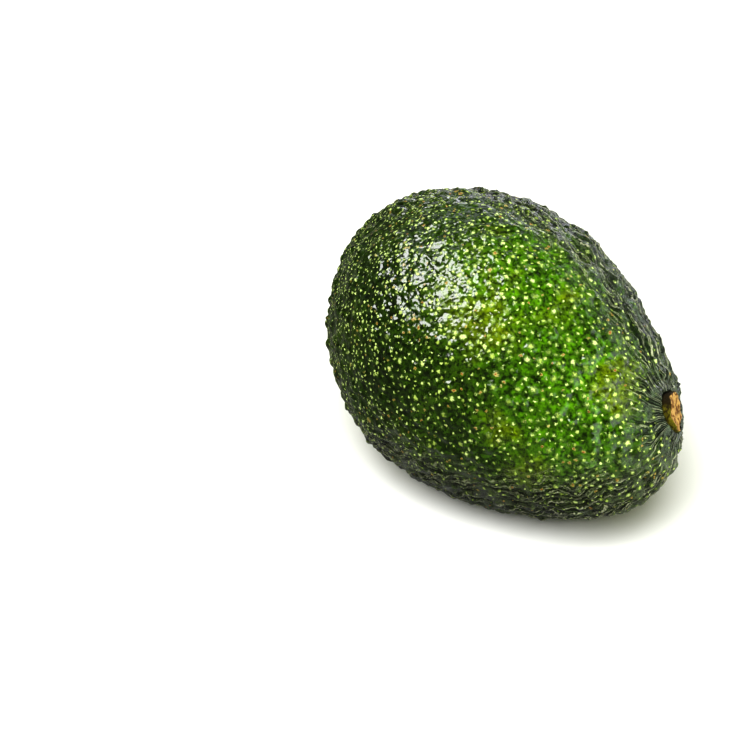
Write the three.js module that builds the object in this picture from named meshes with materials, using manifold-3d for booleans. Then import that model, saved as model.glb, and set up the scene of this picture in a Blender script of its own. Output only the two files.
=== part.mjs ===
// A whole ripe avocado with pebbled skin and a short woody stalk stub, lying on its side.
// Millimetres, +Z up. The origin is on the resting surface, under the middle of the
// fruit's outer box. +X points to the stalk end.

import * as THREE from 'three';
import { ConvexHull } from 'three/addons/math/ConvexHull.js';
import { mergeVertices } from 'three/addons/utils/BufferGeometryUtils.js';
import Module from 'manifold-3d';

// Form of the fruit. Its long axis is X, and u runs from -1 at the blossom end to 1 at the
// stalk end.
const halfLength = 48;
const midRadius = 34.2;
const taper = { slope: -0.165, curve: -0.115, tip: 0.12 };
const drift = { side: 2.5, up: 10 };
const restTilt = THREE.MathUtils.degToRad(22.1);
const flatDepth = 1.3;

// Pebbles of the skin.
const pebbleCount = 1880;
const pebbleGrowth = 0.16;
const pebbleTip = 0.4;
const pebbleValley = -0.4;
const tipSpread = { low: 0.35, high: 1.3 };
const valleyStir = 0.22;

// Stalk stub, and the dimple and socket that it sits in.
const stubAlong = 0.8165;
const stubAround = THREE.MathUtils.degToRad(59.5);
const stubAxis = new THREE.Vector3(0.6, 0.57, 0.56).normalize();
const stubRadius = { root: 4.1, collar: 4.35, face: 4.15 };
const stubProud = 1.1;
const stubSunk = 2.2;
const stubSides = 20;
const dimple = { depth: 0.35, reach: 6 };
const smoothRing = { start: 5, end: 10 };
const seatGap = 0.3;

// A repeatable stream of draws from 0 to 1.
function makeDraw(seed) {
  const modulus = 2147483647;
  let state = seed;
  return () => {
    state = (state * 16807) % modulus;
    return state / modulus;
  };
}

// Centre of the round section at u. It drifts to one side towards the stalk end.
function sectionCentre(u) {
  const share = ((1 + u) / 2) ** 3;
  return { y: drift.side * share, z: drift.up * share };
}

// Squared radius of the round section at u. It is negative past either end.
function sectionRadiusSquared(u) {
  const swell = 1 + taper.slope * u + taper.curve * u ** 2 + taper.tip * u ** 3;
  return (1 - u * u) * (midRadius * swell) ** 2;
}

// Below zero inside the fruit, zero on its smooth form and above zero outside.
function levelAt(x, y, z) {
  const u = x / halfLength;
  const centre = sectionCentre(u);
  return (y - centre.y) ** 2 + (z - centre.z) ** 2 - sectionRadiusSquared(u);
}

// Outward normal of the smooth form, from the level's slope.
function normalAt({ x, y, z }) {
  const step = 0.01;
  return new THREE.Vector3(
    levelAt(x + step, y, z) - levelAt(x - step, y, z),
    levelAt(x, y + step, z) - levelAt(x, y - step, z),
    levelAt(x, y, z + step) - levelAt(x, y, z - step)
  ).normalize();
}

// Point of the smooth form at u along the axis and an angle around it.
function pointAround(u, angle) {
  const centre = sectionCentre(u);
  const radius = Math.sqrt(sectionRadiusSquared(u));
  const y = centre.y + radius * Math.cos(angle);
  const z = centre.z + radius * Math.sin(angle);
  return new THREE.Vector3(halfLength * u, y, z);
}

// Point where a ray from the fruit's middle leaves the smooth form.
function pointAlong(direction) {
  let near = 0;
  let far = 2 * halfLength;
  for (let halving = 0; halving < 30; halving += 1) {
    const reach = (near + far) / 2;
    const probe = middle.clone().addScaledVector(direction, reach);
    if (levelAt(probe.x, probe.y, probe.z) < 0) {
      near = reach;
    } else {
      far = reach;
    }
  }
  return middle.clone().addScaledVector(direction, near);
}

const middle = pointAround(0, 0).add(pointAround(0, Math.PI)).multiplyScalar(0.5);
const stubSeat = pointAround(stubAlong, stubAround);

// The skin sinks into a dimple round the stalk, and its pebbles fade out towards it.
function raise(point, height) {
  const distance = point.distanceTo(stubSeat);
  const sink = dimple.depth * Math.exp(-((distance / dimple.reach) ** 2));
  const fade = THREE.MathUtils.smoothstep(distance, smoothRing.start, smoothRing.end);
  const relief = height * THREE.MathUtils.lerp(0.25, 1, fade);
  return point.clone().addScaledVector(normalAt(point), relief - sink);
}

// Pebble centres, each the loneliest of a few random places on the smooth form.
// Pebbles grow larger towards the stalk end.
function scatterPebbles(draw) {
  const tries = 16;
  const centres = [];
  while (centres.length < pebbleCount) {
    let best = null;
    let bestRoom = -1;
    for (let attempt = 0; attempt < tries; attempt += 1) {
      const u = 2 * draw() - 1;
      const candidate = pointAround(u, 2 * Math.PI * draw());
      const size = 1 + pebbleGrowth * u;
      let room = Infinity;
      for (const centre of centres) {
        room = Math.min(room, centre.distanceToSquared(candidate));
      }
      if (room / size ** 2 > bestRoom) {
        best = candidate;
        bestRoom = room / size ** 2;
      }
    }
    centres.push(best);
  }
  return centres;
}

// The pebbled skin: a pyramid for each pebble, whose foot is the ring of valleys round it.
function pebbledSkin() {
  const draw = makeDraw(29);
  const centres = scatterPebbles(draw);
  const directions = centres.map((centre) => centre.clone().sub(middle).normalize());
  const order = new Map(directions.map((direction, index) => [direction, index]));
  const hull = new ConvexHull().setFromPoints(directions);

  const points = centres.map((centre) => {
    const spread = THREE.MathUtils.lerp(tipSpread.low, tipSpread.high, draw());
    return raise(centre, pebbleTip * spread);
  });
  const valleyOrder = new Map();
  for (const face of hull.faces) {
    const corners = [face.edge.head(), face.edge.next.head(), face.edge.prev.head()];
    const direction = new THREE.Vector3();
    for (const corner of corners) {
      direction.addScaledVector(corner.point, 1 + valleyStir * (draw() - 0.5));
    }
    valleyOrder.set(face, points.length);
    points.push(raise(pointAlong(direction.normalize()), pebbleValley));
  }

  const index = [];
  for (const face of hull.faces) {
    for (const edge of [face.edge, face.edge.next, face.edge.prev]) {
      const tip = order.get(edge.tail().point);
      index.push(tip, valleyOrder.get(edge.twin.face), valleyOrder.get(face));
    }
  }
  const geometry = new THREE.BufferGeometry().setFromPoints(points);
  geometry.setIndex(index);
  return geometry;
}

// Presses a round shape on the Y axis into the stalk's outline, which comes to a blunt point.
function makeAngular(geometry) {
  const position = geometry.attributes.position;
  for (let corner = 0; corner < position.count; corner += 1) {
    const x = position.getX(corner);
    const z = position.getZ(corner);
    const angle = Math.atan2(z, x);
    const fromPoint = angle + Math.PI / 6;
    const lobes = 0.06 * Math.cos(2 * fromPoint) + 0.06 * Math.cos(3 * fromPoint);
    const outline = 1 + lobes + 0.035 * Math.cos(5 * fromPoint + 1);
    position.setX(corner, x * outline);
    position.setZ(corner, z * outline);
  }
  return geometry;
}

// A woody stub that stands on +Y, with an uneven broken face.
function stubGeometry() {
  const { root, collar, face } = stubRadius;
  const profile = [
    new THREE.Vector2(0, -stubSunk),
    new THREE.Vector2(root, -stubSunk),
    new THREE.Vector2(collar, -0.6),
    new THREE.Vector2(collar, stubProud - 0.6),
    new THREE.Vector2(face, stubProud - 0.1),
    new THREE.Vector2(0.8 * face, stubProud + 0.05),
    new THREE.Vector2(0.45 * face, stubProud - 0.15),
    new THREE.Vector2(0, stubProud + 0.1)
  ];
  const geometry = makeAngular(new THREE.LatheGeometry(profile, stubSides));
  const position = geometry.attributes.position;
  for (let corner = 0; corner < position.count; corner += 1) {
    const y = position.getY(corner);
    const across = 1.5 * position.getX(corner) + 0.8;
    const along = 1.9 * position.getZ(corner) - 0.4;
    const dent = 0.16 * Math.sin(across) + 0.14 * Math.cos(along);
    position.setY(corner, y + dent * THREE.MathUtils.smoothstep(y, 0, 1));
  }
  return geometry;
}

// Turns a shape that stands on +Y so that it stands on the stalk's axis in its dimple.
function seatOnStalk(geometry) {
  const turn = new THREE.Quaternion().setFromUnitVectors(new THREE.Vector3(0, 1, 0), stubAxis);
  const foot = raise(stubSeat, 0);
  geometry.applyQuaternion(turn);
  geometry.translate(foot.x, foot.y, foot.z);
  return geometry;
}

// The hole that the stub sits in, clear of it on every side.
function socketGeometry() {
  const above = 6;
  const depth = stubSunk + seatGap;
  const radius = stubRadius.collar + 1.1 * seatGap;
  const hole = new THREE.CylinderGeometry(radius, radius, depth + above, stubSides);
  hole.rotateY(Math.PI / 2);
  hole.translate(0, (above - depth) / 2, 0);
  return seatOnStalk(makeAngular(hole));
}

const wasm = await Module();
wasm.setup();

// Manifold solid of a closed geometry.
function toSolid(geometry) {
  const bare = geometry.clone();
  bare.deleteAttribute('normal');
  bare.deleteAttribute('uv');
  const merged = mergeVertices(bare, 1e-4);
  return new wasm.Manifold(
    new wasm.Mesh({
      numProp: 3,
      vertProperties: new Float32Array(merged.attributes.position.array),
      triVerts: new Uint32Array(merged.index.array)
    })
  );
}

// Geometry of a Manifold solid.
function toGeometry(solid) {
  const mesh = solid.getMesh();
  const geometry = new THREE.BufferGeometry();
  geometry.setAttribute('position', new THREE.BufferAttribute(mesh.vertProperties, 3));
  geometry.setIndex(new THREE.BufferAttribute(mesh.triVerts, 1));
  geometry.computeVertexNormals();
  return geometry;
}

// Presses whatever hangs below the resting level up into one flat spot.
function pressFlat(geometry) {
  geometry.computeBoundingBox();
  const restLevel = geometry.boundingBox.min.z + flatDepth;
  const position = geometry.attributes.position;
  for (let corner = 0; corner < position.count; corner += 1) {
    position.setZ(corner, Math.max(position.getZ(corner), restLevel));
  }
  return geometry;
}

// The whole fruit at its resting tilt, flat where it rests and socketed for the stub.
function fruitGeometry() {
  const skin = pressFlat(pebbledSkin().rotateY(restTilt));
  const socket = socketGeometry().rotateY(restTilt);
  return toGeometry(toSolid(skin).subtract(toSolid(socket)));
}

const fruit = new THREE.Mesh(
  fruitGeometry(),
  new THREE.MeshStandardMaterial({ color: 0x2c4a1c, roughness: 0.3, metalness: 0 })
);
fruit.name = 'fruit';

const stub = new THREE.Mesh(
  toGeometry(toSolid(seatOnStalk(stubGeometry()).rotateY(restTilt))),
  new THREE.MeshStandardMaterial({ color: 0x9c6a34, roughness: 0.85, metalness: 0 })
);
stub.name = 'stem_stub';

const avocado = new THREE.Group();
avocado.add(fruit, stub);

const box = new THREE.Box3().setFromObject(avocado);
const centre = box.getCenter(new THREE.Vector3());
avocado.position.set(-centre.x, -centre.y, -box.min.z);

export default avocado;
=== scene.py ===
import bpy
import numpy as np
from math import cos, radians, sin
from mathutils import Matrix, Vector, kdtree, noise


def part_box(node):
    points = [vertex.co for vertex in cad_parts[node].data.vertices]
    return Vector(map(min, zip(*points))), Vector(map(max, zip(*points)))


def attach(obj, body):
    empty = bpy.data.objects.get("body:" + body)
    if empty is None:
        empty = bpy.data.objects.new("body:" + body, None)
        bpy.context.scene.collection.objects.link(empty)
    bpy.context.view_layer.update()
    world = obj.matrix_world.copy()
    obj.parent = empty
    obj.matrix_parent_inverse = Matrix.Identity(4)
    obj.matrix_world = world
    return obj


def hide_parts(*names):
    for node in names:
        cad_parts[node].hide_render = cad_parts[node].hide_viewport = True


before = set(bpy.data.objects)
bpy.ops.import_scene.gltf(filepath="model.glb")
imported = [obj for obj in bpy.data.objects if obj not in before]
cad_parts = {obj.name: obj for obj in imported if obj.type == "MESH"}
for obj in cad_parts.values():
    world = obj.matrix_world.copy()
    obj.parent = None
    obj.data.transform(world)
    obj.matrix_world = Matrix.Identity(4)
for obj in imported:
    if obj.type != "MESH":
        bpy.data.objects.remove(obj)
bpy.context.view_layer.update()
mm = 0.001


def selectOnly(piece):
    bpy.ops.object.select_all(action="DESELECT")
    piece.select_set(True)
    bpy.context.view_layer.objects.active = piece


def copyOfNode(node, pieceName):
    # the node's loose triangles are joined in the copy
    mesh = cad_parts[node].data.copy()
    mesh.materials.clear()
    mesh.name = pieceName
    piece = bpy.data.objects.new(pieceName, mesh)
    bpy.context.scene.collection.objects.link(piece)
    selectOnly(piece)
    bpy.ops.object.mode_set(mode="EDIT")
    bpy.ops.mesh.select_all(action="SELECT")
    bpy.ops.mesh.remove_doubles(threshold=0.002 * mm)
    bpy.ops.object.mode_set(mode="OBJECT")
    if mesh.has_custom_normals:
        bpy.ops.mesh.customdata_custom_splitnormals_clear()
    return piece


def subdividePiece(piece, cuts):
    selectOnly(piece)
    bpy.ops.object.mode_set(mode="EDIT")
    bpy.ops.mesh.select_all(action="SELECT")
    bpy.ops.mesh.subdivide(number_cuts=cuts)
    bpy.ops.object.mode_set(mode="OBJECT")


def smoothPiece(piece, rounds, group=""):
    selectOnly(piece)
    bpy.ops.object.modifier_add(type="SMOOTH")
    smooth = piece.modifiers[-1]
    smooth.iterations = rounds
    smooth.factor = 0.5
    smooth.vertex_group = group
    bpy.ops.object.modifier_apply(modifier=smooth.name)


def readPoints(mesh, field="co"):
    values = np.empty(len(mesh.vertices) * 3, np.float32)
    mesh.vertices.foreach_get(field, values)
    return values.reshape(-1, 3).astype(float)


def writePoints(mesh, points):
    mesh.vertices.foreach_set("co", points.astype(np.float32).ravel())
    mesh.update()


def writeNumbers(mesh, name, values):
    layer = mesh.attributes.new(name, "FLOAT", "POINT")
    layer.data.foreach_set("value", np.asarray(values, np.float32))


def ramp(values, low, high):
    share = np.clip((values - low) / (high - low), 0, 1)
    return share * share * (3 - 2 * share)


def between(low, high, share):
    return low + (high - low) * share


def lengths(vectors):
    return np.linalg.norm(vectors, axis=1)


def waves(points, frequency, stretch=(1, 1, 1)):
    spots = points * np.array(stretch) * frequency
    return np.array([noise.noise(Vector(spot)) for spot in spots])


def treeOf(places):
    tree = kdtree.KDTree(len(places))
    for number, place in enumerate(places):
        tree.insert(place, number)
    tree.balance()
    return tree


def nearestOf(places, points):
    tree = treeOf(places)
    return np.array([tree.find(point)[1] for point in points])


def sumOfBumps(places, heights, reaches, points, neighbours=4):
    tree = treeOf(places)
    found = [tree.find_n(point, neighbours) for point in points]
    numbers = np.array([[hit[1] for hit in hits] for hits in found])
    distances = np.array([[hit[2] for hit in hits] for hits in found]) / mm
    return (heights[numbers] * np.exp(-(distances / reaches[numbers]) ** 2)).sum(axis=1)


skinShape = {
    "seed": 7,
    "cuts": 3,  # splits each edge of the solid in four
    "crownRise": 0.12,  # mm, least height of a pebble's tip over the points round it
    "baseRounds": 28,  # smoothing rounds that leave the form under the pebbles
    "stalkClear": (5.0, 8.5),  # mm from the stalk's middle, where smoothing fades in
    "softening": 2,  # smoothing rounds of the finished relief
    "pebbleHeight": (0.10, 0.90),  # mm, lowest and tallest pebble over the skin between them
    "heightShares": (0.05, 0.95),  # shares of the pebbles below the lowest and the tallest
    "pebbleReach": (1.05, 1.95),  # mm, how wide they are
    "valleyDepth": 0.35,  # share of the solid's valleys that is left between them
    "sink": 0.15,  # mm, how far the skin between them is let in
    "calmMiddle": (0.0, -24.0, 58.0),  # mm, middle of the area with the lowest pebbles
    "calmReach": (14.0, 40.0),  # mm
    "calmGain": 0.4,  # their height there
    "smallBumps": 0.6,  # share of the valleys between pebbles that hold a small bump
    "smallHeight": (0.08, 0.30),  # mm
    "smallReach": (0.45, 0.80),  # mm
    "smallClear": 7.0,  # mm from the stalk's middle, without small bumps
    "spotEdge": 0.3,  # mm over the floor, without them too
    "ripple": 0.16,  # mm, low waves of the skin
    "rippleNoise": 340,  # noise sizes are in cells per metre
    "crease": (0.10, 0.08),  # mm, narrower creases, in the calm area and away from it
    "creaseNoise": 520,
    "ridge": (0.20, 0.30),  # mm, long ridges of the upper and the lower skin
    "ridgeNoise": (330, 700),
    "ridgeMean": 0.5,  # mean height of the noise, taken off
    "ridgeStretch": (0.5, 1, 1),  # longer along the fruit
    "lowSkin": (15.0, 28.5),  # mm over the floor, where the lower skin is full and where it ends
    "stalkLift": 6.0,  # mm, how much higher it reaches at the stalk end
    "liftSpan": (18.0, 42.0),  # mm along the fruit, from none of that to all of it
    "farSide": (0.0, 14.0),  # mm along Y, where the far side starts and where it is full
    "farPebbles": 0.65,  # share of the pebbles' height left on the far side
    "farBumps": 3.4,  # gain of the small bumps there
    "farRelief": 0.3,  # share of the ridges and creases left there
    "swelling": 1.1,  # mm, long rounded swellings of the far side
    "swellingNoise": 210,
    "swellingMean": 0.4,
    "swellingStretch": (0.55, 1, 1),
    "collar": 1.0,  # mm, raised ring of skin round the stalk
    "collarReach": 5.2,  # mm
    "collarWidth": 1.6,  # mm
    "swells": (((42.0, -3.6, 16.2), 1.0, 11.0),),  # middle, height and reach, all in mm
    "foldHeight": 0.20,  # mm, long folds of the lower skin and round the stalk
    "stalkFold": 0.28,  # mm, their height close to the stalk
    "foldReach": (8.0, 16.0),  # mm from the stalk's middle, where those fade out
    "foldWarp": 0.09,  # radians, how far they wander to either side
    "warpNoise": (140, 330),
    "fineWarp": 0.4,  # share of the finer one
    "stalkWarp": 3.0,  # gain of it close to the stalk
    "foldBreak": (-0.42, -0.02),  # heights of the noise that breaks them up
    "breakNoise": (260, 480),  # along the fruit, and close to the stalk
}

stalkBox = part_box("stem_stub")
stalkMiddle = (stalkBox[0] + stalkBox[1]) / 2
stalkAxis = Vector((0.767, 0.570, 0.293)).normalized()  # the way its broken end faces
lengthAxis = Vector((0.987, 0.11, 0.12)).normalized()  # from the blossom end to the stalk
sideAxis = lengthAxis.cross(Vector((0, 0, 1))).normalized()
upAxis = sideAxis.cross(lengthAxis)
foldCounts = (24, 48, 96)  # folds round the line through the stalk
foldSteps = ((7.0, 11.0), (15.0, 21.0))  # mm from that line, where one count gives way to the next


def markCrowns(mesh, leastRise):
    # pebble tips stand above the ring of valleys round them
    points = readPoints(mesh)
    normals = readPoints(mesh, "normal")
    edges = np.empty(len(mesh.edges) * 2, np.int32)
    mesh.edges.foreach_get("vertices", edges)
    edges = edges.reshape(-1, 2)
    total = np.zeros_like(points)
    count = np.zeros(len(points))
    for here, there in ((0, 1), (1, 0)):
        np.add.at(total, edges[:, here], points[edges[:, there]])
        np.add.at(count, edges[:, here], 1)
    rise = ((points - total / count[:, None]) * normals).sum(axis=1) / mm
    return points, rise > leastRise


def keepStalkSharp(piece, distance, clear):
    # vertex group of the points that smoothing may move
    group = piece.vertex_groups.new(name="free")
    weights = np.round(ramp(distance, *clear), 2)
    for weight in np.unique(weights):
        group.add(np.flatnonzero(weights == weight).tolist(), float(weight), "REPLACE")
    return weights


def foldWaves(points, warp):
    offset = points - np.array(stalkMiddle)
    across, above = offset @ np.array(sideAxis), offset @ np.array(upAxis)
    angle = np.arctan2(above, across) + warp
    reach = np.hypot(across, above) / mm
    total = np.cos(foldCounts[0] * angle)
    for count, step in zip(foldCounts[1:], foldSteps):
        share = ramp(reach, *step)
        total = total * (1 - share) + np.cos(count * angle) * share
    return total


def skinWaves(base, liveliness, lowness, farness, shape):
    # low ripples, creases, long ridges and swellings of the skin under the pebbles
    crease = -2 * np.abs(waves(base, shape["creaseNoise"]))
    crease = crease * between(*shape["crease"], liveliness)
    long, fine = (np.abs(waves(base, size, shape["ridgeStretch"])) for size in shape["ridgeNoise"])
    ridgeHeight = between(*shape["ridge"], lowness) * liveliness
    ridge = (shape["ridgeMean"] - 2 * long - fine) * ridgeHeight
    ripple = waves(base, shape["rippleNoise"]) * shape["ripple"]
    swelling = 2 * np.abs(waves(base, shape["swellingNoise"], shape["swellingStretch"]))
    swelling = (swelling - shape["swellingMean"]) * shape["swelling"] * farness * liveliness
    return ripple + (crease + ridge) * between(1, shape["farRelief"], farness) + swelling


def makeFruit(shape):
    draw = np.random.default_rng(shape["seed"])
    piece = copyOfNode("fruit", "avocado_skin")
    mesh = piece.data
    coarse, crowns = markCrowns(mesh, shape["crownRise"])
    clear = lengths(coarse - np.array(stalkMiddle)) / mm > shape["smallClear"]
    valleys = ~crowns & clear & (coarse[:, 2] > shape["spotEdge"] * mm)
    chosen = valleys & (draw.random(len(coarse)) < shape["smallBumps"])
    print("fruit: crowns", int(crowns.sum()), "small bumps", int(chosen.sum()))

    subdividePiece(piece, shape["cuts"])
    sharp = readPoints(mesh)
    distance = lengths(sharp - np.array(stalkMiddle)) / mm
    weights = keepStalkSharp(piece, distance, shape["stalkClear"])
    smoothPiece(piece, shape["baseRounds"], "free")
    base = readPoints(mesh)
    normals = readPoints(mesh, "normal")
    print("fruit: points", len(base))

    # every pebble of the solid becomes a rounded one, as tall as its tip stands over the rest
    relief = ((sharp - base) * normals).sum(axis=1) / mm
    rise = relief[:len(coarse)][crowns]
    share = ramp(rise, *np.quantile(rise, shape["heightShares"]))
    heights = between(*shape["pebbleHeight"], share)
    reaches = draw.uniform(*shape["pebbleReach"], len(heights))
    pebbles = sumOfBumps(coarse[crowns], heights, reaches, sharp)
    heights = draw.uniform(*shape["smallHeight"], chosen.sum())
    reaches = draw.uniform(*shape["smallReach"], chosen.sum())
    smallOnes = sumOfBumps(coarse[chosen], heights, reaches, sharp)
    floorLevel = np.minimum(relief, 0) * shape["valleyDepth"]

    # how far each point belongs to the lively, the lower, the far and the stalk's skin
    place = base / mm
    liveliness = ramp(lengths(place - np.array(shape["calmMiddle"])), *shape["calmReach"])
    lift = shape["stalkLift"] * ramp(place[:, 0], *shape["liftSpan"])
    lowness = 1 - ramp(place[:, 2] - lift, *shape["lowSkin"])
    farness = ramp(place[:, 1], *shape["farSide"])
    stalkward = 1 - ramp(distance, *shape["foldReach"])

    pebbles = pebbles * between(1, shape["farPebbles"], farness)
    pebbles = pebbles + smallOnes * between(1, shape["farBumps"], farness)
    height = (floorLevel + pebbles) * between(shape["calmGain"], 1, liveliness) - shape["sink"]
    height = height + skinWaves(base, liveliness, lowness, farness, shape)
    height = relief * (1 - weights) + height * weights
    for middle, swell, reach in shape["swells"]:
        height += swell * np.exp(-(lengths(place - np.array(middle)) / reach) ** 2)
    fromCollar = (distance - shape["collarReach"]) / shape["collarWidth"]
    collar = shape["collar"] * np.exp(-fromCollar ** 2)
    final = base + (normals * height[:, None] + np.array(stalkAxis) * collar[:, None]) * mm
    final[:, 2] = np.maximum(final[:, 2], 0)
    writePoints(mesh, final)
    smoothPiece(piece, shape["softening"], "free")

    # rows of long folds that run along the fruit and gather at the stalk
    broadWarp, fineWarp = (waves(base, size) for size in shape["warpNoise"])
    warp = shape["foldWarp"] * (broadWarp + shape["fineWarp"] * fineWarp)
    warp *= between(1, shape["stalkWarp"], stalkward)
    longSize, stalkSize = shape["breakNoise"]
    broken = ramp(waves(base, longSize, shape["ridgeStretch"]), *shape["foldBreak"])
    brokenAtStalk = ramp(waves(base, stalkSize), *shape["foldBreak"])
    broken = broken * (1 - stalkward) + brokenAtStalk * stalkward
    rugged = liveliness * np.maximum(np.maximum(lowness, farness), stalkward)
    wrinkled = rugged * broken
    foldHeight = between(shape["foldHeight"], shape["stalkFold"], stalkward)
    folds = foldWaves(base, warp) * wrinkled * weights * foldHeight * mm
    points = readPoints(mesh) + normals * folds[:, None]
    points[:, 2] = np.maximum(points[:, 2], 0)
    writePoints(mesh, points)

    writeNumbers(mesh, "liveliness", liveliness)
    writeNumbers(mesh, "lowness", lowness)
    writeNumbers(mesh, "wrinkled", wrinkled)
    writeNumbers(mesh, "rugged", rugged)
    writeNumbers(mesh, "foldWarp", warp)
    placeSpecks(mesh, coarse[crowns], skinSpecks)
    selectOnly(piece)
    bpy.ops.object.shade_smooth()
    piece.vertex_groups.clear()
    return piece


skinSpecks = {
    "seed": 11,
    "jitter": 0.30,  # mm, how far a speck lies from its pebble's middle
    "extra": 26000,  # tries for more specks, away from the pebbles' middles
    "room": (0.78, 1.28),  # mm, least distance between specks at the blossom and the stalk end
    "roomEnds": (-30.0, 25.0),  # mm along the fruit
    "roomSpread": (0.7, 1.3),  # how unevenly it is kept
    "bigRadius": (0.24, 0.56),  # mm
    "smallRadius": (0.12, 0.34),  # mm
    "radiusBias": 1.5,  # over 1 for more small specks than big ones
    "lowSkin": (8.0, 27.0),  # mm over the floor, between which the specks grow to their full size
    "lowLoss": 0.6,  # share of it lost on the lower skin
    "farLoss": 0.25,  # and on the far side
    "farRoom": 2.4,  # gain of the distance there
    "farSide": (6.0, 20.0),  # mm along Y
    "stretch": 0.65,  # 0 for round specks, nearly 1 for needles
}


def keepApart(spots, rooms):
    # of two spots that are too close, the first stays
    tree = treeOf(spots)
    kept = np.ones(len(spots), bool)
    for number, spot in enumerate(spots):
        if kept[number]:
            for _, other, _ in tree.find_range(spot, rooms[number]):
                if other > number:
                    kept[other] = False
    return kept


def placeSpecks(mesh, middles, specks):
    draw = np.random.default_rng(specks["seed"])
    points = readPoints(mesh) / mm
    big = middles / mm + draw.normal(0, specks["jitter"], middles.shape)
    extra = points[draw.integers(0, len(points), specks["extra"])]
    spots = np.concatenate([big, extra])
    rooms = between(*specks["room"], ramp(spots[:, 0], *specks["roomEnds"]))
    rooms *= between(1, specks["farRoom"], ramp(spots[:, 1], *specks["farSide"]))
    kept = keepApart(spots, rooms * draw.uniform(*specks["roomSpread"], len(spots)))
    isBig = (np.arange(len(spots)) < len(big))[kept]
    spots = points[nearestOf(points, spots[kept])]
    print("fruit: specks", len(spots))

    swell = 1 - specks["lowLoss"] * (1 - ramp(spots[:, 2], *specks["lowSkin"]))
    swell *= 1 - specks["farLoss"] * ramp(spots[:, 1], *specks["farSide"])
    low, high = (np.where(isBig, *pair) for pair in zip(specks["bigRadius"], specks["smallRadius"]))
    radius = between(low, high, draw.random(len(spots)) ** specks["radiusBias"]) * swell
    slant = draw.normal(size=spots.shape)
    slant *= (draw.random(len(spots)) * specks["stretch"] / lengths(slant))[:, None]
    tone = draw.random(len(spots))

    # each face takes the values of the speck next to it
    corners = np.empty(len(mesh.polygons) * 3, np.int32)
    mesh.polygons.foreach_get("vertices", corners)
    nearest = nearestOf(spots, points[corners].reshape(-1, 3, 3).mean(axis=1))
    for name, kind, field, values in (
        ("speckPlace", "FLOAT_VECTOR", "vector", spots),
        ("speckSlant", "FLOAT_VECTOR", "vector", slant),
        ("speckRadius", "FLOAT", "value", radius),
        ("speckTone", "FLOAT", "value", tone),
    ):
        layer = mesh.attributes.new(name, kind, "FACE")
        layer.data.foreach_set(field, values[nearest].astype(np.float32).ravel())


fruitPiece = makeFruit(skinShape)
print("fruit: shaped")


stalkShape = {
    "cuts": 5,
    "rounds": 4,  # of smoothing
    "longer": 0.4,  # mm, broken end over the solid's
    "outerPart": (0.0, 1.2),  # mm past the stalk's middle, over which that fades in
    "facing": (0.3, 0.8),  # how squarely the bark and the broken face look along the stalk
    "barkRidge": 0.16,  # mm
    "barkNoise": 1000,  # noise sizes are in cells per metre
    "crack": 0.22,  # mm
    "crackNoise": 600,
    "crackStretch": (1, 1, 0.4),
    "ragged": 0.45,  # mm, unevenness of the broken face's edge
    "raggedNoise": 700,
    "raggedStretch": (1, 1, 0.5),
}


def makeStalk(shape):
    piece = copyOfNode("stem_stub", "stalk_stub")
    mesh = piece.data
    subdividePiece(piece, shape["cuts"])
    smoothPiece(piece, shape["rounds"])
    points = readPoints(mesh)
    normals = readPoints(mesh, "normal")
    axis = np.array(stalkAxis)
    along = ((points - np.array(stalkMiddle)) * axis).sum(axis=1)
    flat = points - along[:, None] * axis
    face = ramp((normals * axis).sum(axis=1), *shape["facing"])
    outer = ramp(along / mm, *shape["outerPart"])
    crack = 1 - 2 * np.abs(waves(points, shape["crackNoise"], shape["crackStretch"]))
    crack = np.clip(crack, 0, 1) ** 3
    bark = waves(flat, shape["barkNoise"]) * shape["barkRidge"]
    height = bark * (1 - face) - crack * shape["crack"] * face
    ragged = shape["ragged"] * waves(flat, shape["raggedNoise"], shape["raggedStretch"])
    rise = outer * (shape["longer"] + ragged)
    writePoints(mesh, points + (normals * height[:, None] + axis * rise[:, None]) * mm)
    writeNumbers(mesh, "cutFace", face)
    selectOnly(piece)
    bpy.ops.object.shade_smooth()
    return piece


stalkPiece = makeStalk(stalkShape)
print("stalk: shaped")


rising = (0.0, 1.0)  # spans and results of a range node
falling = (1.0, 0.0)


def addNode(tree, kind, place, **settings):
    node = tree.nodes.new(kind)
    node.location = place
    for name, value in settings.items():
        setattr(node, name, value)
    return node


def feed(tree, socket, value):
    # another node's output, a colour, or a plain value
    if isinstance(value, bpy.types.NodeSocket):
        tree.links.new(value, socket)
    elif socket.type == "RGBA":
        socket.default_value = (*value, 1)
    elif value is not None:
        socket.default_value = value


def mathNode(tree, place, operation, *values, clamp=False):
    node = addNode(tree, "ShaderNodeMath", place, operation=operation, use_clamp=clamp)
    for socket, value in zip(node.inputs, values):
        feed(tree, socket, value)
    return node.outputs[0]


def product(tree, place, first, second):
    return mathNode(tree, place, "MULTIPLY", first, second)


def vectorNode(tree, place, operation, *values, output="Vector"):
    node = addNode(tree, "ShaderNodeVectorMath", place, operation=operation)
    for socket, value in zip(node.inputs, values):
        feed(tree, socket, value)
    return node.outputs[output]


def rangeNode(tree, place, value, span, result=rising):
    node = addNode(tree, "ShaderNodeMapRange", place, interpolation_type="SMOOTHSTEP")
    for socket, number in zip(node.inputs, (value, *span, *result)):
        feed(tree, socket, number)
    return node.outputs[0]


def mixColour(tree, place, share, first, second, blend="MIX"):
    node = addNode(tree, "ShaderNodeMix", place, data_type="RGBA", blend_type=blend)
    feed(tree, node.inputs[0], share)
    feed(tree, node.inputs[6], first)
    feed(tree, node.inputs[7], second)
    return node.outputs[2]


def noiseNode(tree, place, vector, scale, detail, roughness):
    node = addNode(tree, "ShaderNodeTexNoise", place)
    feed(tree, node.inputs["Vector"], vector)
    feed(tree, node.inputs["Scale"], scale)
    feed(tree, node.inputs["Detail"], detail)
    feed(tree, node.inputs["Roughness"], roughness)
    return node.outputs["Fac"]


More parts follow.
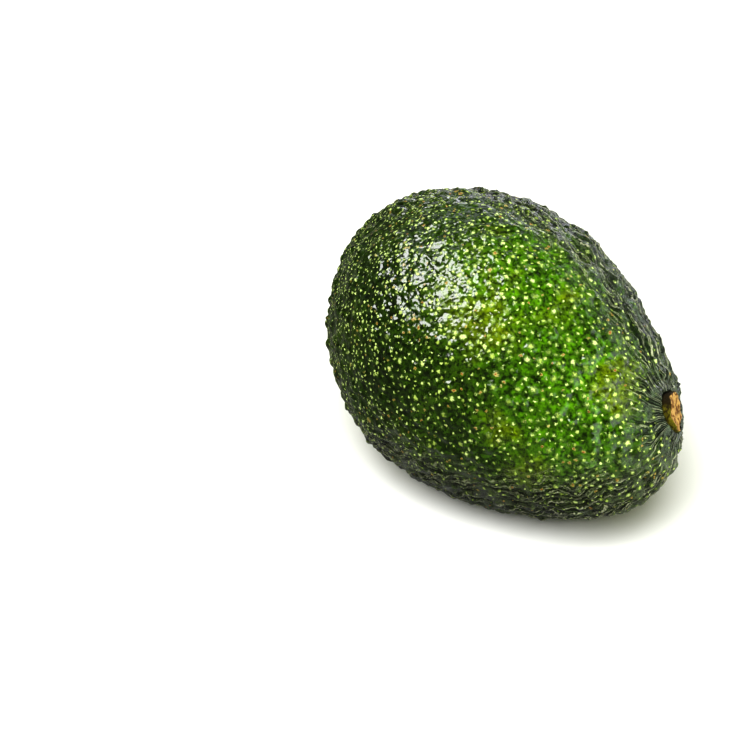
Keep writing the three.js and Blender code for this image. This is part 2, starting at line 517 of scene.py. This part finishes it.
def attributeNode(tree, place, name, output="Fac"):
    return addNode(tree, "ShaderNodeAttribute", place, attribute_name=name).outputs[output]


def newMaterial(name):
    material = bpy.data.materials.new(name)
    material.use_nodes = True
    tree = material.node_tree
    tree.nodes.clear()
    output = addNode(tree, "ShaderNodeOutputMaterial", (1600, 0))
    shader = addNode(tree, "ShaderNodeBsdfPrincipled", (1300, 0))
    feed(tree, output.inputs["Surface"], shader.outputs[0])
    place = addNode(tree, "ShaderNodeTexCoord", (-1600, 0))
    scale = addNode(tree, "ShaderNodeMapping", (-1400, 0))
    feed(tree, scale.inputs["Vector"], place.outputs["Object"])
    feed(tree, scale.inputs["Scale"], (1000, 1000, 1000))  # metres to mm
    return material, tree, shader, scale.outputs[0]


def addBump(tree, place, height, distance, shader):
    bump = addNode(tree, "ShaderNodeBump", place)
    feed(tree, bump.inputs["Distance"], distance)
    feed(tree, bump.inputs["Strength"], 1.0)
    feed(tree, bump.inputs["Height"], height)
    feed(tree, shader.inputs["Normal"], bump.outputs[0])


skinLook = {
    "deep": (0.0060, 0.0120, 0.0014),  # ground, in the dark of the mottling
    "green": (0.0165, 0.0365, 0.0016),  # ground, in the light of it
    "bright": (0.0385, 0.1060, 0.0008),  # fresh green patches, with a painted pool of light on them
    "olive": (0.0680, 0.0960, 0.0015),  # yellower parts of them
    "lowSkin": (0.0320, 0.0390, 0.0170),  # greyer and lighter: painted light and reflection from the floor on the lower skin
    "floorLightShare": 0.60,  # how much of that colour the lower skin takes
    "nearStalk": (0.0340, 0.0440, 0.0280),  # greyer still: the skin's slate green near the stalk, lightened by a painted sheen
    "nearShare": 0.75,  # how much of that colour the skin at the stalk takes
    "paintedFoldShade": (0.0030, 0.0050, 0.0015),  # painted shade in the valleys between the long folds
    "valleyShade": 0.8,  # its strength
    "paintedCrestSheen": (0.2500, 0.2600, 0.1700),  # painted sheen on their crests
    "halo": (0.0640, 0.1150, 0.0120),  # round the specks of the fresh, painted-lit patches
    "speck": (0.2150, 0.2850, 0.0520),
    "cream": (0.3900, 0.4700, 0.1750),  # paler specks
    "cork": (0.3400, 0.2900, 0.0800),  # corky specks
    "pit": (0.1400, 0.0500, 0.0120),  # middles of the corky ones
    "roughness": (0.13, 0.22),
    "ior": 1.46,
    # scale per mm, detail and roughness of each noise
    "broad": (0.06, 3, 0.55),
    "middle": (0.50, 4, 0.65),
    "fine": (0.95, 5, 0.65),
    "fineSpan": (0.3, 0.7),  # heights of the fine one that count as its low and its high
    "broadShare": 0.4,  # how much of the broad one is added to the middle one
    "mottle": (0.42, 0.96),  # heights of their sum at its dark and its light
    "oliveFrom": (0.45, 0.62),  # heights of the broad one from bright to olive
    "grain": (0.35, 1.50),  # brightness of the ground in the lows and the highs of the fine one
    "grainEdge": (0.36, 0.64),  # heights that count as those
    # places of the fresh green and its painted pool of light
    "freshAndLitPlaces": (  # mm
        (12.0, -6.0, 61.0),
        (14.0, -10.0, 58.0),
        (30.0, -10.0, 46.0),
        (31.0, -15.0, 39.0),
    ),
    "freshAndLitReach": (5.0, 23.0),  # mm from the nearest of those places
    "freshAndLitFar": 0.10,  # strength of the fresh green and its painted light beyond
    "freshAndLitDark": 0.12,  # and in the dark of the mottling
    # one side of the fruit, darkened with painted shade; its specks are smaller, fainter and paler
    "shadeSide": (-0.645, -0.764, 0.0),  # the way to it
    "shadeReach": (12.0, 34.0),  # mm from the middle towards it
    "shadeGround": 0.60,  # brightness of the ground under the painted shade
    "shadeSpeck": 0.85,  # size of the specks there
    "shadeDim": 0.80,  # their strength there
    "shadePale": 0.50,  # how much paler they are there
    "blossomEnd": (37.0, 43.0),  # mm towards that side, where they fade
    "blossomDim": 0.45,  # their strength past it
    # long folds
    "foldWander": 0.011,  # radians, how far they stray
    "finerRatio": 3.1,  # finer folds to each of the finest of the shape
    "finerFolds": 0.95,  # strength of their row
    "finerReach": (9.0, 18.0),  # mm from the line through the stalk, where it fades in
    "closeCount": 84.0,  # folds of the row close to the stalk
    "closeFolds": 1.1,  # its strength
    "closeReach": (9.0, 15.0),  # mm from the same line, where it fades out
    "fanReach": (6.0, 12.0),  # mm from the stalk's middle, where the colour near it fades out
    "valleyEdge": (-0.9, 0.1),  # heights of the folds between which their valleys end
    "lineEdge": (0.45, 1.25),  # and between which their painted sheen starts
    "lineBreak": (0.42, 0.58),  # heights of the middle noise that break the crests up
    "lineLeast": 0.24,  # what is left of them in its lows
    "lineReach": (8.0, 14.0),  # mm from the stalk's middle, from the first strength to the second
    "lineStrength": (0.50, 0.90),
    # specks, whose edges are in radii from the middle
    "stalkClear": (5.5, 8.5),  # mm from the stalk's middle, where they fade in
    "wobble": (2.2, 3, 0.7),  # noise that makes them uneven
    "wobbleSpan": (0.25, 0.75),  # its heights that count as low and high
    "wobbleReach": 0.30,  # mm, how far their edges stray
    "speckEdge": (0.35, 1.30),  # from full strength to none
    "haloEdge": (0.90, 2.30),
    "haloStrength": 0.75,
    "pitEdge": (0.20, 0.70),
    "creamTones": (0.30, 0.90),  # tones run from 0 to 1, one for each speck
    "faintTones": (0.00, 0.35),
    "faintest": 0.35,  # strength of the faintest
    "corkTones": (0.87, 0.90),
    # relief
    "pimple": (0.15, 0.62),  # height in radii of their specks, in the calm area and away from it
    "pimpleEdge": (0.0, 1.7),  # radii
    "pimpleRise": (0.0, 0.8),  # liveliness over which it grows
    "puckers": (0.64, 1, 0.4),  # noise of the soft puckers
    "pucker": (0.60, 0.08),  # mm, their height, in the calm area and away from it
    "wrinkle": 0.15,  # mm, height of the fine wrinkles
    "grit": 0.55,  # mm, height of the uneven skin among them
}


def groundColour(tree, mmCoord, broad, middle, unshaded, look):
    # fresh green patches with a painted pool of light on them, broken up by the mottling
    away = None
    for number, spot in enumerate(look["freshAndLitPlaces"]):
        place = (-1100, 750 + 200 * number)
        distance = vectorNode(tree, place, "DISTANCE", mmCoord, spot, output="Value")
        if away is None:
            away = distance
        else:
            away = mathNode(tree, (-950 + 50 * number, 750), "MINIMUM", away, distance)
    near = rangeNode(tree, (-700, 750), away, look["freshAndLitReach"], (1.0, look["freshAndLitFar"]))
    mottle = mathNode(tree, (-700, 400), "MULTIPLY_ADD", broad, look["broadShare"], middle)
    mottle = rangeNode(tree, (-500, 400), mottle, look["mottle"])
    patchy = rangeNode(tree, (-500, 550), mottle, rising, (look["freshAndLitDark"], 1.0))
    freshAndLit = product(tree, (-300, 600), near, patchy)
    yellower = rangeNode(tree, (-300, 800), broad, look["oliveFrom"])
    freshAndLitColour = mixColour(tree, (-100, 700), yellower, look["bright"], look["olive"])
    colour = mixColour(tree, (-100, 400), mottle, look["deep"], look["green"])
    colour = mixColour(tree, (100, 400), freshAndLit, colour, freshAndLitColour)

    # painted shade, darkening one side of the fruit
    shade = rangeNode(tree, (300, 700), unshaded, rising, (look["shadeGround"], 1.0))
    colour = mixColour(tree, (400, 400), 1.0, colour, shade, "MULTIPLY")
    # painted light and reflection from the floor, on the lower skin
    lowness = attributeNode(tree, (300, 900), "lowness")
    floorLightShare = product(tree, (450, 900), lowness, look["floorLightShare"])
    return mixColour(tree, (550, 500), floorLightShare, colour, look["lowSkin"]), near


def longFolds(tree, fromStalk, fine, look):
    # the same folds as in the shape, and two finer rows
    across = vectorNode(tree, (-1100, 1700), "DOT_PRODUCT", fromStalk, sideAxis, output="Value")
    above = vectorNode(tree, (-1100, 1900), "DOT_PRODUCT", fromStalk, upAxis, output="Value")
    angle = mathNode(tree, (-900, 1900), "ARCTAN2", above, across)
    warp = attributeNode(tree, (-900, 2100), "foldWarp")
    angle = mathNode(tree, (-700, 1900), "ADD", angle, warp)
    stray = look["foldWander"]
    wander = rangeNode(tree, (-700, 2100), fine, look["fineSpan"], (-stray, stray))
    angle = mathNode(tree, (-500, 1900), "ADD", angle, wander)
    squared = product(tree, (-900, 1600), across, across)
    squared = mathNode(tree, (-700, 1600), "MULTIPLY_ADD", above, above, squared)
    reach = mathNode(tree, (-500, 1600), "SQRT", squared)

    def row(count, y):
        return mathNode(tree, (-150, y), "COSINE", product(tree, (-300, y), angle, count))

    fold = row(foldCounts[0], 1900)
    for number, (count, step) in enumerate(zip(foldCounts[1:], foldSteps)):
        y = 1700 - 200 * number
        share = rangeNode(tree, (-300, y - 100), reach, step)
        fold = mixColour(tree, (50, y + 100), share, fold, row(count, y))
    finer = rangeNode(tree, (-150, 1050), reach, look["finerReach"], (0.0, look["finerFolds"]))
    finer = product(tree, (50, 1200), row(look["finerRatio"] * foldCounts[-1], 1200), finer)
    fold = mathNode(tree, (200, 1300), "ADD", fold, finer)
    closer = rangeNode(tree, (-150, 750), reach, look["closeReach"], (look["closeFolds"], 0.0))
    closer = product(tree, (50, 900), row(look["closeCount"], 900), closer)
    return mathNode(tree, (300, 1200), "ADD", fold, closer)


def foldColour(tree, colour, fold, wrinkled, stalkDistance, middle, fine, look):
    nearShare = (look["nearShare"], 0.0)
    near = rangeNode(tree, (-600, 2300), stalkDistance, look["fanReach"], nearShare)
    # the skin's colour near the stalk, partly a painted sheen
    colour = mixColour(tree, (600, 400), near, colour, look["nearStalk"])
    grain = rangeNode(tree, (-500, 0), fine, look["grainEdge"], look["grain"])
    colour = mixColour(tree, (610, 300), 1.0, colour, grain, "MULTIPLY")

    # painted shade in the valleys and painted sheen on the crests
    paintedFoldShade = rangeNode(tree, (150, 1500), fold, look["valleyEdge"], (look["valleyShade"], 0.0))
    paintedFoldShade = product(tree, (300, 1500), paintedFoldShade, wrinkled)
    colour = mixColour(tree, (620, 500), paintedFoldShade, colour, look["paintedFoldShade"])
    # painted sheen on the crests of the folds
    paintedCrestSheen = rangeNode(tree, (150, 1700), fold, look["lineEdge"])
    patchy = rangeNode(tree, (150, 1850), middle, look["lineBreak"], (look["lineLeast"], 1.0))
    paintedCrestSheen = product(tree, (250, 1800), paintedCrestSheen, patchy)
    paintedCrestSheen = product(tree, (300, 1700), paintedCrestSheen, wrinkled)
    strength = rangeNode(tree, (300, 1850), stalkDistance, look["lineReach"], look["lineStrength"])
    paintedCrestSheen = product(tree, (450, 1700), paintedCrestSheen, strength)
    return mixColour(tree, (650, 600), paintedCrestSheen, colour, look["paintedCrestSheen"])


def speckShapes(tree, mmCoord, unshaded, look):
    # how far each point lies from the middle of its speck, in the radius of that speck
    place = attributeNode(tree, (-900, -300), "speckPlace", "Vector")
    slant = attributeNode(tree, (-900, -450), "speckSlant", "Vector")
    radius = attributeNode(tree, (-900, -600), "speckRadius")
    apart = vectorNode(tree, (-700, -300), "SUBTRACT", mmCoord, place)
    along = vectorNode(tree, (-550, -450), "DOT_PRODUCT", apart, slant, output="Value")
    squeezed = vectorNode(tree, (-400, -450), "SCALE", slant)
    feed(tree, squeezed.node.inputs["Scale"], along)
    apart = vectorNode(tree, (-250, -300), "SUBTRACT", apart, squeezed)
    reach = vectorNode(tree, (-100, -300), "LENGTH", apart, output="Value")
    wobble = noiseNode(tree, (-300, -600), mmCoord, *look["wobble"])
    wobbleReach = look["wobbleReach"]
    wobble = rangeNode(tree, (-150, -600), wobble, look["wobbleSpan"], (-wobbleReach, wobbleReach))
    reach = mathNode(tree, (50, -300), "ADD", reach, wobble)
    swell = rangeNode(tree, (-300, -800), unshaded, rising, (look["shadeSpeck"], 1.0))
    radius = product(tree, (-100, -700), radius, swell)
    return mathNode(tree, (200, -400), "DIVIDE", reach, radius), radius


def speckColours(tree, spread, unshaded, look):
    tone = attributeNode(tree, (-900, -750), "speckTone")
    pale = rangeNode(tree, (200, -850), unshaded, rising, (look["shadePale"], 0.0))
    creamy = rangeNode(tree, (350, -700), tone, look["creamTones"])
    pale = mathNode(tree, (400, -850), "ADD", pale, creamy, clamp=True)
    colour = mixColour(tree, (500, -700), pale, look["speck"], look["cream"])
    corky = rangeNode(tree, (350, -1000), tone, look["corkTones"])
    colour = mixColour(tree, (650, -700), corky, colour, look["cork"])
    pit = rangeNode(tree, (350, -1150), spread, look["pitEdge"], falling)
    pit = product(tree, (500, -1000), pit, corky)
    colour = mixColour(tree, (800, -700), pit, colour, look["pit"])
    faint = rangeNode(tree, (350, -850), tone, look["faintTones"], (look["faintest"], 1.0))
    return colour, faint


def skinRelief(tree, mmCoord, spread, radius, fold, wrinkled, fine, look):
    # pimples under the specks, soft puckers, fine wrinkles and grit, in mm
    lively = attributeNode(tree, (300, -1700), "liveliness")
    pimple = rangeNode(tree, (500, -1300), spread, look["pimpleEdge"], falling)
    pimple = product(tree, (700, -1300), pimple, radius)
    pimpleGain = rangeNode(tree, (700, -1400), lively, look["pimpleRise"], look["pimple"])
    pucker = noiseNode(tree, (300, -1500), mmCoord, *look["puckers"])
    puckerGain = rangeNode(tree, (500, -1700), lively, rising, look["pucker"])
    pucker = product(tree, (700, -1500), pucker, puckerGain)
    relief = mathNode(tree, (850, -1300), "MULTIPLY_ADD", pimple, pimpleGain, pucker)
    wrinkle = product(tree, (500, -1900), fold, wrinkled)
    relief = mathNode(tree, (700, -1900), "MULTIPLY_ADD", wrinkle, look["wrinkle"], relief)
    grit = product(tree, (500, -2100), fine, attributeNode(tree, (300, -2100), "rugged"))
    return mathNode(tree, (850, -2000), "MULTIPLY_ADD", grit, look["grit"], relief)


def makeSkinMaterial(look):
    material, tree, shader, mmCoord = newMaterial("skin")
    broad = noiseNode(tree, (-900, 500), mmCoord, *look["broad"])
    middle = noiseNode(tree, (-900, 250), mmCoord, *look["middle"])
    fine = noiseNode(tree, (-900, 0), mmCoord, *look["fine"])
    shadeSide = look["shadeSide"]
    # how far each point lies towards the side with painted shade
    shadeward = vectorNode(tree, (-900, 1000), "DOT_PRODUCT", mmCoord, shadeSide, output="Value")
    unshaded = rangeNode(tree, (-700, 1000), shadeward, look["shadeReach"], falling)
    colour, near = groundColour(tree, mmCoord, broad, middle, unshaded, look)

    stalkPlace = tuple(stalkMiddle / mm)
    fromStalk = vectorNode(tree, (-1300, 1900), "SUBTRACT", mmCoord, stalkPlace)
    stalkDistance = vectorNode(tree, (-1100, 2300), "LENGTH", fromStalk, output="Value")
    wrinkled = attributeNode(tree, (-900, 1300), "wrinkled")
    fold = longFolds(tree, fromStalk, fine, look)
    colour = foldColour(tree, colour, fold, wrinkled, stalkDistance, middle, fine, look)

    # specks, fainter on the side with painted shade and at the blossom end, none close to the stalk
    spread, radius = speckShapes(tree, mmCoord, unshaded, look)
    speckColour, faint = speckColours(tree, spread, unshaded, look)
    dim = rangeNode(tree, (350, -250), unshaded, rising, (look["shadeDim"], 1.0))
    clear = rangeNode(tree, (-700, -150), stalkDistance, look["stalkClear"])
    dim = product(tree, (500, -250), dim, clear)
    pastBlossom = (1.0, look["blossomDim"])
    blossom = rangeNode(tree, (350, -100), shadeward, look["blossomEnd"], pastBlossom)
    dim = product(tree, (550, -250), dim, blossom)
    halo = rangeNode(tree, (350, -550), spread, look["haloEdge"], (look["haloStrength"], 0.0))
    halo = product(tree, (600, 100), halo, dim)
    haloColour = mixColour(tree, (500, 100), near, look["green"], look["halo"])
    colour = mixColour(tree, (750, 300), halo, colour, haloColour)
    core = rangeNode(tree, (350, -400), spread, look["speckEdge"], falling)
    core = product(tree, (800, -100), core, product(tree, (650, -250), faint, dim))
    colour = mixColour(tree, (950, 300), core, colour, speckColour)

    roughness = rangeNode(tree, (700, -200), fine, look["fineSpan"], look["roughness"])
    feed(tree, shader.inputs["Base Color"], colour)
    feed(tree, shader.inputs["Roughness"], roughness)
    feed(tree, shader.inputs["IOR"], look["ior"])
    relief = skinRelief(tree, mmCoord, spread, radius, fold, wrinkled, fine, look)
    addBump(tree, (1000, -400), relief, mm, shader)
    return material


stalkLook = {
    "bark": (0.0750, 0.0680, 0.0050),
    "darkBark": (0.0120, 0.0080, 0.0015),
    "wood": (0.0680, 0.0320, 0.0085),
    "pith": (0.2150, 0.1400, 0.0470),
    "crack": (0.0350, 0.0120, 0.0040),
    "roughness": 0.85,
    "specular": 0.2,
    "stretch": (1.0, 1.0, 0.35),  # the grain runs upwards
    # scale per mm, detail and roughness of each noise
    "fibres": (1.5, 4, 0.65),
    "cracks": (0.8, 3, 0.55),
    "woodEdge": (0.41, 0.57),  # heights of the fibres from wood to pith
    "barkEdge": (0.35, 0.60),  # and from dark bark to bark
    "crackEdge": (0.50, 0.58),  # heights of the other noise where cracks start
    "crackStrength": 0.85,
    "rimEdge": (0.1, 0.4),  # the same dark colour round the broken face
    "faceEdge": (0.35, 0.65),  # from bark to the broken face
    "darkTip": (38.6, 39.8),  # mm over the floor, where the bark turns black
    "fibreHeight": 0.6,  # mm
}


def makeStalkMaterial(look):
    material, tree, shader, mmCoord = newMaterial("stalk")
    face = attributeNode(tree, (-900, -300), "cutFace")
    stretched = addNode(tree, "ShaderNodeMapping", (-1000, 200))
    feed(tree, stretched.inputs["Vector"], mmCoord)
    feed(tree, stretched.inputs["Scale"], look["stretch"])
    fibre = noiseNode(tree, (-800, 200), stretched.outputs[0], *look["fibres"])
    crack = noiseNode(tree, (-800, 0), stretched.outputs[0], *look["cracks"])

    pithy = rangeNode(tree, (-600, 200), fibre, look["woodEdge"])
    wood = mixColour(tree, (-300, 200), pithy, look["wood"], look["pith"])
    gap = rangeNode(tree, (-600, 0), crack, look["crackEdge"])
    rim = mathNode(tree, (-600, -300), "PINGPONG", face, 0.5)  # highest between face and bark
    rim = rangeNode(tree, (-400, -300), rim, look["rimEdge"])
    gap = mathNode(tree, (-200, -100), "MAXIMUM", gap, rim)
    gap = product(tree, (-100, 0), gap, look["crackStrength"])
    wood = mixColour(tree, (0, 200), gap, wood, look["crack"])

    lighter = rangeNode(tree, (-600, 400), fibre, look["barkEdge"])
    bark = mixColour(tree, (-300, 400), lighter, look["darkBark"], look["bark"])
    split = addNode(tree, "ShaderNodeSeparateXYZ", (-600, 600))
    feed(tree, split.inputs[0], mmCoord)
    tip = rangeNode(tree, (-400, 600), split.outputs["Z"], look["darkTip"])
    bark = mixColour(tree, (-100, 500), tip, bark, look["darkBark"])
    broken = rangeNode(tree, (0, -200), face, look["faceEdge"])
    colour = mixColour(tree, (300, 100), broken, bark, wood)

    feed(tree, shader.inputs["Base Color"], colour)
    feed(tree, shader.inputs["Roughness"], look["roughness"])
    feed(tree, shader.inputs["Specular IOR Level"], look["specular"])
    addBump(tree, (900, -300), fibre, look["fibreHeight"] * mm, shader)
    return material


fruitPiece.data.materials.append(makeSkinMaterial(skinLook))
stalkPiece.data.materials.append(makeStalkMaterial(stalkLook))
for piece, node, slot in ((fruitPiece, "fruit", "skin"), (stalkPiece, "stem_stub", "stalk")):
    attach(piece, "root")
    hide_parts(node)
print("materials: made")


studio = {
    "floorSize": 12.0,  # m
    "floorColour": (0.90, 0.90, 0.90),
    "floorRoughness": 0.9,
    # in reflections the floor is darker, which keeps the dark skin clear of haze
    "floorInGloss": (0.18, 0.18, 0.17),
    "sideInGloss": (0.62, 0.60, 0.70),  # its colour where it mirrors fully
    "glossSide": (0.645, 0.764, 0.0),  # way to the side where it mirrors fully
    "glossSpan": (0.00, 0.09),  # m
    "glossBack": (-0.764, 0.645, 0.0),  # way to the side behind the fruit, where it doesn't
    "backSpan": (0.00, 0.08),  # m
    "farSpan": (0.22, 0.40),  # m, where it mirrors fully again
    "glossNear": (0.035, 0.060),  # m from the middle, where it mirrors a little all round
    "nearShare": 0.40,  # how much
    "world": (0.95, 1.0, 0.60),
    "worldInGloss": (0.42, 0.42, 0.46),
    "worldStrength": 0.26,
}
lampAim = Vector((0, 0, 0.034))  # m, the fruit's middle
lamps = [
    # name, azimuth and elevation in degrees, distance in m, size in m, power in W, colour,
    # what it lights, whether it gives shading and whether it gives gloss
    ("key", -14, 52, 1.0, (0.40, 0.40), 19, (1.0, 0.99, 0.95), "avocado", True, False),
    ("softbox", -46, 56, 1.0, (0.64, 0.56), 16, (1.0, 1.0, 1.0), "avocado", False, True),
    ("side", 111, 10, 1.0, (0.50, 0.50), 29, (1.0, 1.0, 1.0), "avocado", True, False),
    ("glow", 108, 14, 1.2, (1.6, 0.9), 12, (0.90, 0.93, 1.0), "avocado", False, True),
    ("rim", 195, 3.5, 1.4, (2.4, 0.20), 7.5, (0.88, 0.86, 1.0), "avocado", True, True),
    ("crown", 232, 36, 1.0, (0.9, 0.14), 1.0, (0.86, 0.84, 1.0), "avocado", False, True),
    ("wing", 150, 40, 1.0, (0.7, 0.14), 0.9, (0.86, 0.84, 1.0), "avocado", False, True),
    ("back", 200, 58, 1.4, (1.0, 0.5), 1.5, (0.95, 0.96, 1.0), "avocado", True, False),
    ("front", 36.5, 51, 3.0, (2.1, 2.1), 139, (1.0, 1.0, 1.0), "stage", True, False),
]
cameraSettings = {
    "aim": (-34.72 * mm, -12.42 * mm, 19.52 * mm),  # where it looks
    "azimuth": 49.8,
    "elevation": 32.0,
    "distance": 0.700,  # m
    "lens": 143.8,  # mm
    "sensor": 36,  # mm
}


def towards(azimuth, elevation):
    a, e = radians(azimuth), radians(elevation)
    return Vector((sin(a) * cos(e), -cos(a) * cos(e), sin(e)))


def aimBack(thing, back):
    thing.rotation_euler = (-back).to_track_quat("-Z", "Y").to_euler()


def colourByRay(tree, plain, inGloss):
    rays = addNode(tree, "ShaderNodeLightPath", (-600, 500))
    return mixColour(tree, (-200, 300), rays.outputs["Is Glossy Ray"], plain, inGloss)


def makeFloor(settings):
    bpy.ops.mesh.primitive_plane_add(size=settings["floorSize"], location=(0, 0, 0))
    floor = bpy.context.object
    floor.name = "floor"
    material = bpy.data.materials.new("floor")
    material.use_nodes = True
    tree = material.node_tree
    shader = tree.nodes["Principled BSDF"]
    place = addNode(tree, "ShaderNodeTexCoord", (-1000, 0)).outputs["Object"]
    glossSide, glossBack = settings["glossSide"], settings["glossBack"]
    across = vectorNode(tree, (-800, 0), "DOT_PRODUCT", place, glossSide, output="Value")
    share = rangeNode(tree, (-600, 0), across, settings["glossSpan"])
    behind = vectorNode(tree, (-800, 200), "DOT_PRODUCT", place, glossBack, output="Value")
    front = rangeNode(tree, (-600, 200), behind, settings["backSpan"], falling)
    farBack = rangeNode(tree, (-600, 350), behind, settings["farSpan"])
    front = mathNode(tree, (-500, 250), "MAXIMUM", front, farBack)
    share = product(tree, (-500, 100), share, front)
    away = vectorNode(tree, (-800, -200), "LENGTH", place, output="Value")
    nearShare = (settings["nearShare"], 0.0)
    close = rangeNode(tree, (-600, -200), away, settings["glossNear"], nearShare)
    share = mathNode(tree, (-500, -100), "MAXIMUM", share, close)
    floorInGloss, sideInGloss = settings["floorInGloss"], settings["sideInGloss"]
    inGloss = mixColour(tree, (-400, 0), share, floorInGloss, sideInGloss)
    colour = colourByRay(tree, settings["floorColour"], inGloss)
    feed(tree, shader.inputs["Base Color"], colour)
    feed(tree, shader.inputs["Roughness"], settings["floorRoughness"])
    floor.data.materials.append(material)
    return floor


def makeWorld(settings):
    world = bpy.data.worlds.new("studio")
    bpy.context.scene.world = world
    world.use_nodes = True
    tree = world.node_tree
    sky = tree.nodes["Background"]
    colour = colourByRay(tree, settings["world"], settings["worldInGloss"])
    feed(tree, sky.inputs["Color"], colour)
    feed(tree, sky.inputs["Strength"], settings["worldStrength"])


def makeLamp(name, azimuth, elevation, distance, size, power, colour, lights, shading, gloss):
    back = towards(azimuth, elevation)
    bpy.ops.object.light_add(type="AREA", location=lampAim + back * distance)
    lamp = bpy.context.object
    lamp.name = name
    aimBack(lamp, back)
    lamp.data.shape = "RECTANGLE"
    lamp.data.size, lamp.data.size_y = size
    lamp.data.energy = power
    lamp.data.color = colour
    lamp.visible_diffuse = shading
    lamp.visible_glossy = gloss
    lamp.light_linking.receiver_collection = bpy.data.collections[lights]


def makeCamera(settings):
    back = towards(settings["azimuth"], settings["elevation"])
    bpy.ops.object.camera_add(location=Vector(settings["aim"]) + back * settings["distance"])
    camera = bpy.context.object
    aimBack(camera, back)
    camera.data.lens = settings["lens"]
    camera.data.sensor_width = settings["sensor"]
    bpy.context.scene.camera = camera


floorPiece = makeFloor(studio)
makeWorld(studio)
groups = {"avocado": (fruitPiece, stalkPiece), "stage": (floorPiece,)}
for group, members in groups.items():
    collection = bpy.data.collections.new(group)
    for member in members:
        collection.objects.link(member)
for lamp in lamps:
    makeLamp(*lamp)
makeCamera(cameraSettings)
bpy.context.scene.view_settings.view_transform = "Standard"
bpy.context.scene.view_settings.look = "High Contrast"
print("studio: made")
